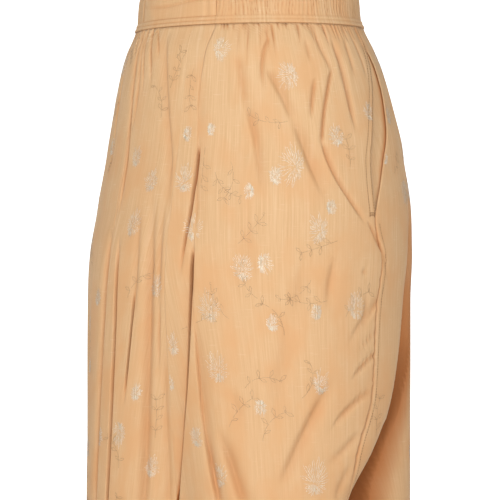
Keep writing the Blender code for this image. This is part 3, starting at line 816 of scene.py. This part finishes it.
BODY_LIGHT = (0.725, 0.490, 0.280, 1.0)
BODY_DARK = (0.590, 0.355, 0.172, 1.0)
BODY_SLUB = (0.770, 0.570, 0.370, 1.0)
BODY_WARM = (0.665, 0.378, 0.182, 1.0)
# Colours of the painted shade in creases and hollows.
PAINTED_SHADE_BROWN = (0.400, 0.110, 0.020, 1.0)
PAINTED_SHADE_DARKEST = (0.060, 0.014, 0.004, 1.0)
body_cloth = cloth_material("body_cloth_look", BODY_LIGHT, BODY_DARK, BODY_SLUB)
band_cloth = cloth_material("band_cloth_look", BODY_LIGHT, BODY_DARK, BODY_SLUB)
facing_cloth = cloth_material("facing_cloth_look", BODY_LIGHT, BODY_DARK, BODY_SLUB)
silver_foil = foil_material("silver_foil", (0.85, 0.78, 0.64, 1.0), (0.52, 0.42, 0.30, 1.0), 0.06, 0.50)
brown_print = foil_material("brown_print", (0.27, 0.15, 0.065, 1.0), (0.55, 0.36, 0.20, 1.0), 0.10, 0.50)
thread = foil_material("sewing_thread", (0.25, 0.11, 0.035, 1.0), (0.44, 0.24, 0.10, 1.0), 0.0, 0.70)


# Cloth panels

def panel_heights(rows):
    even = np.linspace(0.0, 1.0, rows)
    bent = 0.65 * even + 0.35 * even ** 2
    return PANEL_TOP + (LEG_BOTTOM - PANEL_TOP) * bent


PANELS = (
    ("front_pleats_left", 1, front_limit, seam_edge(PLEAT_SEAM_LEFT), 120, 200, 0.0),
    ("leg_front_left", 1, seam_edge(PLEAT_SEAM_LEFT), pocket_edge(-1), 226, 204, 2.0),
    ("back_left", 1, pocket_edge(1), back_limit, 132, 170, 4.0),
    ("front_pleats_right", -1, front_limit, seam_edge(PLEAT_SEAM_RIGHT), 200, 204, 6.0),
    ("leg_front_right", -1, seam_edge(PLEAT_SEAM_RIGHT), seam_edge(SIDE_SEAM_RIGHT), 100, 180, 8.0),
    ("back_right", -1, seam_edge(SIDE_SEAM_RIGHT), back_limit, 84, 140, 10.0),
)
FINE_SHARES = 1000
ROWS_BLENDED = 6


def crowded_angles(side, first, last, height, columns):
    """Ring angles of a shell's columns, row by row, closer together near creases."""
    share = np.linspace(0.0, 1.0, FINE_SHARES)[None, :]
    fine_angle = np.radians(first * (1.0 - share) + last * share)
    fine_height = np.repeat(height, FINE_SHARES, axis=1)
    arc = ring_arc(fine_angle, fine_height)
    crowd = crowding(all_folds(side), fine_angle, fine_height, arc)
    run = np.cumsum(0.5 * (crowd[:, 1:] + crowd[:, :-1]), axis=1)
    run = np.concatenate([np.zeros((len(run), 1)), run], axis=1)
    run = run / run[:, -1:]
    weights = np.hanning(2 * ROWS_BLENDED + 3)[1:-1]
    padded = np.concatenate([run[:1]] * ROWS_BLENDED + [run] + [run[-1:]] * ROWS_BLENDED)
    run = sum(weight * padded[step:step + len(run)] for step, weight in enumerate(weights)) / weights.sum()
    even = np.linspace(0.0, 1.0, columns)
    return np.stack([np.interp(even, run[row], fine_angle[row]) for row in range(len(run))])


def build_panel(name, side, first_edge, last_edge, columns, rows, apart):
    heights = panel_heights(rows)
    first = first_edge(heights)[:, None]
    last = last_edge(heights)[:, None]
    height = heights[:, None]
    angle = crowded_angles(side, first, last, height, columns)
    height = np.repeat(height, columns, axis=1)
    points = surface(side, angle, height)
    cloth = np.stack([apart + angle * PANEL_PER_RADIAN, height], axis=-1)
    made = grid_mesh("cloth_" + name, points, cloth, shade=fold_shade(side, angle, height))
    faces_out(made, inside_leg(side))
    give_thickness(made, CLOTH)
    made.data.materials.append(body_cloth)
    finish_piece(made, [name])
    return made, points


def surface_area(points):
    across = np.linalg.norm(np.diff(points, axis=1), axis=-1)[:-1]
    down = np.linalg.norm(np.diff(points, axis=0), axis=-1)[:, :-1]
    return float((across * down).sum())


# Print and stitches: narrow ribbons that lie on the cloth

def ribbons(name, side, angle, height, width, lift, material):
    """Ribbons along rows of cloth places; width has one value for each point."""
    points = surface(side, angle, height)
    normal = surface_normal(side, angle, height)
    tangent = np.gradient(points, axis=1)
    across = np.cross(normal, tangent)
    across = across / np.maximum(np.linalg.norm(across, axis=-1, keepdims=True), 1e-9)
    half = 0.5 * width[..., None]
    left = points + across * half + normal * lift
    right = points - across * half + normal * lift
    count, steps = angle.shape
    corners = np.stack([left, right], axis=2).reshape(-1, 3)
    start = (np.arange(count)[:, None] * steps + np.arange(steps - 1)[None, :]).reshape(-1) * 2
    faces = np.stack([start, start + 1, start + 3, start + 2], axis=-1)
    made = quad_mesh(name, corners, faces)
    faces_out(made, inside_leg(side))
    made.data.materials.append(material)
    finish_piece(made)
    return made


PETAL_STEPS = 4
PETAL_RINGS = ((0.46, 1.00, 22), (0.26, 0.74, 15), (0.08, 0.42, 8))
SEAT_CLEAR = 24.0
MOTIF_CLEAR = 0.030
METRES_PER_DEGREE = 0.0026
FLOWER_ACROSS = 0.86
FLOWER_ALONG = 1.20


def petal_lines(radius, turn, chance):
    """Flower petals as outlines: rows of points across and along the cloth."""
    lines = []
    widths = []
    for inner, outer, count in PETAL_RINGS:
        shift = chance.random()
        for index in range(count):
            around = 2.0 * math.pi * (index + shift) / count + 0.10 * (chance.random() - 0.5)
            fan = 0.72 + 0.28 * math.cos(around)
            reach = radius * outer * fan * (0.86 + 0.28 * chance.random())
            root = radius * inner * fan * (0.85 + 0.3 * chance.random())
            bulge = 0.30 * 2.0 * math.pi / count
            for edge in (-1.0, 1.0):
                if chance.random() < 0.14:
                    continue
                share = np.linspace(0.0, 1.0 - 0.3 * chance.random(), PETAL_STEPS)
                distance = root + (reach - root) * share
                swing = around + turn + edge * bulge * np.sin(math.pi * (0.25 + 0.75 * share))
                across = FLOWER_ACROSS * distance * np.cos(swing)
                lines.append(np.stack([across, FLOWER_ALONG * distance * np.sin(swing)], axis=-1))
                swell = np.sin(math.pi * (0.12 + 0.8 * share))
                widths.append(0.00014 + 0.00024 * swell * (0.6 + 0.8 * chance.random()))
    return lines, widths


def curved_line(headings, step):
    """Points reached by steps of one length along changing headings."""
    return np.stack([np.cumsum(np.cos(headings)), np.cumsum(np.sin(headings))], axis=-1) * step


def sprig_lines(size, turn, chance):
    """A curled stem with small leaves, as rows of points across and along."""
    lines = []
    widths = []
    share = np.linspace(0.0, 1.0, PETAL_STEPS)
    bend = 1.4 * (chance.random() - 0.5)
    stem_end = np.zeros(2)
    heading = turn
    for part in range(4):
        length = size * 0.27
        turns = heading + bend * share * 0.6
        path = stem_end + curved_line(turns, length / PETAL_STEPS)
        lines.append(path)
        widths.append(np.full(PETAL_STEPS, 0.00032))
        for way in (-1.0, 1.0):
            if chance.random() < 0.25:
                continue
            reach = size * (0.16 + 0.10 * chance.random())
            lean = heading + way * (0.8 + 0.4 * chance.random())
            for edge in (-1.0, 1.0):
                curve = lean + edge * 0.42 * np.sin(math.pi * share) * (1.0 - 0.35 * share)
                leaf = np.stack([np.cos(curve), np.sin(curve)], axis=-1)
                lines.append(path[-1] + reach * share[:, None] * leaf)
                widths.append(np.full(PETAL_STEPS, 0.00030))
        stem_end = path[-1]
        heading += bend * 0.6
    curl = heading + share * 4.6
    lines.append(stem_end + curved_line(curl, size * 0.045))
    widths.append(np.full(PETAL_STEPS, 0.00032))
    return lines, widths


def in_seat_hollow(angle, height):
    middle = read_table(SEAT_CREASE, np.array(height))[0]
    return -0.66 < height < -0.24 and abs(angle - middle) < SEAT_CLEAR


def hidden_places(side, seed, pitch, shown):
    """Places for motifs where none is listed: an uneven grid."""
    chance = np.random.default_rng(seed)
    places = []
    height = -0.030
    row = 0
    while height > -0.915:
        for step in range(40):
            angle = -182.0 + (step + 0.5 * (row % 2)) * pitch / PANEL_PER_RADIAN * 57.3
            angle += 7.0 * (chance.random() - 0.5)
            place = height + 0.018 * (chance.random() - 0.5)
            turn = 360.0 * chance.random()
            size = chance.random()
            if angle > 182.0:
                break
            near = False
            for shown_side, shown_angle, shown_height in shown:
                aside = abs(shown_angle - angle) * METRES_PER_DEGREE
                if shown_side == side and aside < MOTIF_CLEAR and abs(shown_height - place) < MOTIF_CLEAR:
                    near = True
            if not near and place < -0.045 and not in_seat_hollow(angle, place):
                places.append((angle, place, turn, size))
        height -= pitch * 0.80
        row += 1
    return places


def motif_ribbons(side, kind, seed):
    """All ribbons of one kind of motif on one side, in ring angles and heights."""
    chance = np.random.default_rng(seed)
    angles = []
    heights = []
    widths = []
    if kind == "flower":
        shown = [(row[0], row[1], row[2]) for row in FLOWERS]
        places = [(a, h, t, 1.12 * r) for s, a, h, r, t in FLOWERS if s == side]
        for a, h, t, size in hidden_places(side, seed + 1, 0.062, shown):
            if not seen_zone(side, a, h):
                places.append((a, h, t, 0.009 + 0.010 * size))
    else:
        shown = [(row[0], row[1], row[2]) for row in SPRIGS]
        places = [(a, h, t, 0.042) for s, a, h, t in SPRIGS if s == side]
        for a, h, t, size in hidden_places(side, seed + 2, 0.070, shown):
            if not seen_zone(side, a, h):
                places.append((a, h, t, 0.016 + 0.014 * size))
    for a, h, turn, size in places:
        make = petal_lines if kind == "flower" else sprig_lines
        lines, wide = make(size, math.radians(turn), chance)
        radian = math.radians(a)
        arc = float(ring_arc(np.array(radian), np.array(h)))
        for line, width in zip(lines, wide):
            angles.append(radian + line[:, 0] * side / arc)
            heights.append(h + line[:, 1])
            widths.append(width)
    return np.array(angles), np.array(heights), np.array(widths)


def seen_zone(side, angle, height):
    """The part of the cloth whose motifs are all listed."""
    if height < -0.575:
        return False
    if side > 0:
        return angle < 2.0
    return angle < -52.0


LIFT = 0.00022


def print_on_panel(name, side, first_edge, last_edge, kind, seed, material):
    angle, height, width = motif_ribbons(side, kind, seed)
    middle = height.mean(axis=1)
    first = np.radians(first_edge(middle)) + 0.004
    last = np.radians(last_edge(middle)) - 0.004
    inside = (angle.min(axis=1) > first) & (angle.max(axis=1) < last)
    inside = inside & (height.max(axis=1) < PANEL_TOP) & (height.min(axis=1) > LEG_BOTTOM)
    return ribbons(name, side, angle[inside], height[inside], width[inside], LIFT, material)


def stitch_row(name, side, path_angle, path_height, length=STITCH, gap=STITCH_GAP):
    """A row of machine stitches along a path on the cloth."""
    points = surface(side, path_angle, path_height)
    run = np.concatenate([[0.0], np.cumsum(np.linalg.norm(np.diff(points, axis=0), axis=-1))])
    starts = np.arange(0.0, run[-1] - length, length + gap)
    places = starts[:, None] + np.linspace(0.0, length, 3)[None, :]
    angle = np.interp(places, run, path_angle)
    height = np.interp(places, run, path_height)
    width = np.full(angle.shape, STITCH_WIDTH)
    return ribbons(name, side, angle, height, width, STITCH_LIFT, thread)


for row in PANELS:
    made, points = build_panel(*row)

prints = {}
for index, (name, side, first_edge, last_edge, columns, rows, apart) in enumerate(PANELS):
    seed = 40 if side > 0 else 60
    flowers = print_on_panel("flowers_" + name, side, first_edge, last_edge, "flower", seed, silver_foil)
    sprigs = print_on_panel("sprigs_" + name, side, first_edge, last_edge, "sprig", seed + 5, brown_print)
    prints[name] = [flowers, sprigs]


# Stitches beside the pocket mouth and down the side seam
pocket_heights = np.linspace(-0.060, -0.256, 120)
mouth = pocket_edge(-1)(pocket_heights)
for index, back_by in enumerate((0.7, 3.1)):
    row = stitch_row("stitches_pocket_%d" % index, 1, np.radians(mouth - back_by), pocket_heights)
    prints["leg_front_left"].append(row)
bartack_angles = np.linspace(-3.4, 0.6, 12) + read_table(SIDE_SEAM_LEFT, np.array([POCKET_BOTTOM]))[0]
for index in range(3):
    heights = np.full(12, POCKET_BOTTOM - index * BARTACK_ROW)
    name = "bartack_pocket_%d" % index
    row = stitch_row(name, 1, np.radians(bartack_angles), heights, BARTACK_STITCH, BARTACK_GAP)
    prints["leg_front_left"].append(row)
seam_heights = np.linspace(-0.262, -0.915, 260)
seam_angles = read_table(SIDE_SEAM_LEFT, seam_heights)[0]
prints["back_left"].append(stitch_row("stitches_side_seam", 1, np.radians(seam_angles + 2.2), seam_heights))


# Pocket facing
def build_facing():
    columns, rows = FACING_GRID
    heights = np.linspace(FACING_TOP, FACING_BOTTOM, rows)
    share = np.linspace(0.0, 1.0, columns)[None, :]
    first = (pocket_edge(-1)(heights) - FACING_BEFORE)[:, None]
    last = (pocket_edge(1)(heights) + FACING_BEHIND)[:, None]
    angle = np.radians(first * (1.0 - share) + last * share)
    height = np.repeat(heights[:, None], columns, axis=1)
    down = np.linspace(0.0, 1.0, rows)[:, None]
    hollow = smooth_step((0.86 - share) / 0.55) * smooth_step(down / 0.22)
    hollow = hollow * smooth_step((1.0 - down) / 0.22)
    inset = (FACING_INSET + FACING_HOLLOW * hollow)[..., None]
    points = surface(1, angle, height) - inset * surface_normal(1, angle, height)
    cloth = np.stack([FACING_APART + angle * PANEL_PER_RADIAN, height], axis=-1)
    # Painted shade towards the facing's back edge, in the gap under the back panel.
    dark = 0.85 * smooth_step((share - 0.66) / 0.16) + 0.0 * height
    made = grid_mesh("cloth_pocket_facing", points, cloth, shade=dark)
    faces_out(made, (0.06, 0.0, -0.15))
    give_thickness(made, CLOTH)
    made.data.materials.append(facing_cloth)
    finish_piece(made, ["pocket_facing_left"])
    return made, surface_area(points)


facing, facing_area = build_facing()


# Waistband
def band_points(angle, height, outward):
    """Points of the waistband at world angles."""
    centre_y, half_width, half_depth = read_table(SECTIONS, height)[1:]
    x = (half_width + outward) * np.cos(angle)
    y = centre_y + (half_depth + outward) * np.sin(angle)
    return np.stack([x, y, height], axis=-1)


def band_gathers():
    """World angles and depths of the gathers in the elastic casing."""
    chance = np.random.default_rng(5)
    angles = []
    depths = []
    angle = FLAT_BAND_TO + 1.2
    while angle < FLAT_BAND_FROM + 359.0:
        angles.append(angle)
        depths.append(0.35 + 0.65 * chance.random())
        angle += BAND_GATHER_STEP * (0.55 + 0.9 * chance.random())
    return np.radians(np.array(angles)), np.array(depths)


def ridge_profile(height):
    """Two stitched rolls along the lower edge of the waistband."""
    upper = np.clip((ROLL_TOP - height) / (ROLL_TOP - ROLL_MIDDLE), 0.0, 1.0)
    lower = np.clip((ROLL_MIDDLE - height) / (ROLL_MIDDLE + BAND_DROP), 0.0, 1.0)
    rolls = np.sqrt(np.sin(math.pi * upper)) * 0.9 + np.sqrt(np.sin(math.pi * lower))
    return RIDGE_PROUD * rolls


def roll_shade(height):
    """Painted shade in the stitched grooves above and between the rolls, and along the band's lower edge.
    """
    above = trough(height - ROLL_TOP, 0.0006)
    between = trough(height - ROLL_MIDDLE, 0.0006)
    under = smooth_step((0.0012 - BAND_DROP - height) / 0.0010)
    return 0.55 * above + 0.50 * between + 0.60 * under


def build_elastic():
    columns, rows = ELASTIC_GRID
    angle = np.linspace(math.radians(FLAT_BAND_TO), math.radians(FLAT_BAND_FROM + 360.0), columns)[None, :]
    heights = BAND_DROP * -np.linspace(0.0, 1.0, rows)[:, None] ** 0.85
    angle = angle + 0.0 * heights
    height = heights + 0.0 * angle
    lines, depths = band_gathers()
    sway = np.radians(0.45) * np.sin(height * 150.0 + 9.0 * angle)
    count = np.interp(angle + sway, lines, np.arange(len(lines)))
    deep = np.interp(angle, lines, depths)
    valley = 1.0 - np.abs(np.sin(math.pi * count)) ** 0.55
    casing = np.clip(height / ROLL_TOP, 0.0, 1.0)
    in_casing = (1.0 - smooth_step((ROLL_TOP - height + 0.0006) / 0.0010))
    full = np.sin(math.pi * np.clip(casing, 0.03, 0.97)) ** 0.4
    outward = in_casing * (0.0024 * full - 0.0021 * valley * deep * (0.35 + 0.65 * full))
    beads = np.abs(np.sin(math.pi * (count * 1.0 + 0.3 * np.sin(angle * 17.0)))) ** 0.7
    outward = outward + ridge_profile(height) * (0.62 + 0.38 * beads)
    points = band_points(angle, height, outward)
    cloth = np.stack([ELASTIC_APART + angle * BAND_PER_RADIAN, height], axis=-1)
    clear_of_flat = smooth_step((np.degrees(angle) - FLAT_BAND_TO) / 5.0)
    # Painted shade in the valleys of the gathers and in the grooves by the rolls, where it comes and goes
    # in dashes that also stand for the stitching.
    dark = 0.80 * clear_of_flat * in_casing * valley * deep
    dark = dark + roll_shade(height) * (0.45 + 0.55 * (1.0 - beads))
    made = grid_mesh("cloth_waistband_elastic", points, cloth, shade=np.clip(dark, 0.0, 1.0))
    faces_out(made, (0.0, 0.0, -0.02))
    give_thickness(made, BAND_THICKNESS)
    made.data.materials.append(band_cloth)
    finish_piece(made, ["waistband_elastic"])
    return made


def build_flat_band():
    columns, rows = FLAT_BAND_GRID
    angle = np.linspace(math.radians(FLAT_BAND_FROM), math.radians(FLAT_BAND_TO), columns)[None, :]
    heights = -BAND_DROP * np.linspace(0.0, 1.0, rows)[:, None]
    angle = angle + 0.0 * heights
    height = heights + 0.0 * angle
    across = (np.degrees(angle) - FLAT_BAND_FROM) / (FLAT_BAND_TO - FLAT_BAND_FROM)
    casing = np.clip(height / ROLL_TOP, 0.0, 1.0)
    soft_fold = trough(height + 0.0135 + 0.0030 * np.sin(across * 5.0), 0.0018)
    short_fold = trough(height + 0.0065 - 0.0080 * (across - 0.5), 0.0014)
    short_fold = short_fold * smooth_step((across - 0.35) / 0.3)
    billow = 0.0012 * np.sin(across * 7.3 + 0.6) * np.sin(math.pi * casing)
    tight = np.sin(across * 61.0) * smooth_step((across - 0.80) / 0.15) * 0.0007
    outward = 0.0012 * np.sin(math.pi * np.clip(casing, 0.03, 0.97)) ** 0.4 + billow + tight
    outward = outward - 0.0016 * soft_fold * smooth_step(across / 0.3) - 0.0011 * short_fold
    outward = outward * (1.0 - smooth_step((ROLL_TOP - height + 0.0006) / 0.0010)) + ridge_profile(height)
    points = band_points(angle, height, outward)
    cloth = np.stack([FLAT_BAND_APART + angle * BAND_PER_RADIAN, height], axis=-1)
    # Painted shade in the two soft folds and in the grooves by the rolls.
    dark = 0.12 * soft_fold + 0.12 * short_fold + 0.8 * roll_shade(height)
    made = grid_mesh("cloth_waistband_flat", points, cloth, shade=np.clip(dark, 0.0, 1.0))
    faces_out(made, (0.0, 0.0, -0.02))
    give_thickness(made, BAND_THICKNESS)
    made.data.materials.append(band_cloth)
    finish_piece(made, ["waistband_flat"])
    return made


elastic = build_elastic()
flat_band = build_flat_band()


# Ankle cuffs
def build_cuff(name, side):
    columns, rows = CUFF_GRID
    angle = np.linspace(0.0, 2.0 * math.pi, columns, endpoint=False)[None, :]
    heights = np.linspace(LEG_BOTTOM - 0.0003, HEM_BOTTOM, rows)[:, None]
    angle = angle + 0.0 * heights
    height = heights + 0.0 * angle
    centre_x, centre_y, half_width, half_depth = read_table(SECTIONS, height)
    down = (height - heights[0]) / (HEM_BOTTOM - heights[0])
    outward = 0.0009 * np.sin(math.pi * down) ** 0.5 - 0.0006 * trough(down - 0.82, 0.05)
    x = side * (centre_x + (half_width + outward) * np.cos(angle))
    y = centre_y + (half_depth + outward) * np.sin(angle)
    points = np.stack([x, y, height], axis=-1)
    cloth = np.stack([CUFF_APART + 2 * side + angle * CUFF_PER_RADIAN, height], axis=-1)
    made = grid_mesh("cloth_" + name, points, cloth, closed=True)
    faces_out(made, (side * 0.09, -0.012, -0.94))
    give_thickness(made, BAND_THICKNESS)
    made.data.materials.append(band_cloth)
    finish_piece(made, [name])
    return made, surface_area(points)


cuffs = {"cuff_left": build_cuff("cuff_left", 1), "cuff_right": build_cuff("cuff_right", -1)}


# Floor, light and camera
AZIMUTH = math.radians(35.0)
CAMERA_DISTANCE = 3.0
METRES_PER_PIXEL = 0.00115
IMAGE_PIXELS = 500.0
CAMERA_HEIGHT = -0.291
CAMERA_ASIDE_PIXELS = 2.0
SENSOR_WIDTH = 36.0
FLOOR_WIDTH = 6.4
WALL_WIDTH = 6.0
WALL_BEHIND = 6.3
WORLD_STRENGTH = 0.36
WHITE_LIGHT = (1.0, 0.985, 0.965)

# Each area light: degrees from the camera's azimuth, height, distance, size, power and colour.
LIGHTS = (
    ("key", -34.0, 0.70, 2.4, 1.2, 26.0, (1.0, 0.985, 0.96)),
    ("front", 4.0, 0.25, 3.4, 1.4, 44.0, WHITE_LIGHT),
    ("side", 62.0, 0.30, 3.0, 1.4, 14.0, WHITE_LIGHT),
)

bpy.ops.mesh.primitive_plane_add(size=FLOOR_WIDTH, location=(0.0, 0.0, HEM_BOTTOM - 0.001))
floor = bpy.context.active_object
floor.name = "floor"
floor.rotation_euler = (0.0, 0.0, AZIMUTH)
floor_look, floor_nodes, floor_shader = new_material("floor_look")
floor_shader.inputs["Base Color"].default_value = (0.90, 0.90, 0.90, 1.0)
floor_shader.inputs["Roughness"].default_value = 0.9
floor.data.materials.append(floor_look)

world = bpy.data.worlds.new("studio")
bpy.context.scene.world = world
world.use_nodes = True
world.node_tree.nodes["Background"].inputs["Color"].default_value = (*WHITE_LIGHT, 1.0)
world.node_tree.nodes["Background"].inputs["Strength"].default_value = WORLD_STRENGTH


def add_area(name, azimuth, height, distance, size, power, colour):
    data = bpy.data.lights.new(name, "AREA")
    data.size = size
    data.energy = power
    data.color = colour
    light = bpy.data.objects.new(name, data)
    bpy.context.scene.collection.objects.link(light)
    place = (math.sin(azimuth) * distance, -math.cos(azimuth) * distance, height)
    light.location = place
    ahead = math.atan2(height - CAMERA_HEIGHT, distance)
    light.rotation_euler = (math.pi / 2 - ahead, 0.0, azimuth)
    return light


for name, turned, height, distance, size, power, colour in LIGHTS:
    add_area(name, AZIMUTH + math.radians(turned), height, distance, size, power, colour)


def add_backdrop():
    """A white paper wall behind the part, lit as in a studio."""
    bpy.ops.mesh.primitive_plane_add(size=WALL_WIDTH)
    wall = bpy.context.active_object
    wall.name = "backdrop"
    wall.rotation_euler = (math.pi / 2, 0.0, AZIMUTH)
    wall.location = (-math.sin(AZIMUTH) * WALL_BEHIND, math.cos(AZIMUTH) * WALL_BEHIND, CAMERA_HEIGHT)
    look, tree, shader = new_material("backdrop_look")
    shader.inputs["Base Color"].default_value = (0.9, 0.9, 0.9, 1.0)
    shader.inputs["Emission Color"].default_value = (1.0, 1.0, 1.0, 1.0)
    shader.inputs["Emission Strength"].default_value = 1.0
    wall.data.materials.append(look)


add_backdrop()

camera_data = bpy.data.cameras.new("camera")
camera_data.sensor_width = SENSOR_WIDTH
camera_data.lens = SENSOR_WIDTH * CAMERA_DISTANCE / METRES_PER_PIXEL / IMAGE_PIXELS
camera_data.shift_x = CAMERA_ASIDE_PIXELS / IMAGE_PIXELS
camera = bpy.data.objects.new("camera", camera_data)
bpy.context.scene.collection.objects.link(camera)
camera.location = (math.sin(AZIMUTH) * CAMERA_DISTANCE, -math.cos(AZIMUTH) * CAMERA_DISTANCE, CAMERA_HEIGHT)
camera.rotation_euler = (math.pi / 2, 0.0, AZIMUTH)
bpy.context.scene.camera = camera
bpy.context.scene.view_settings.view_transform = "Standard"
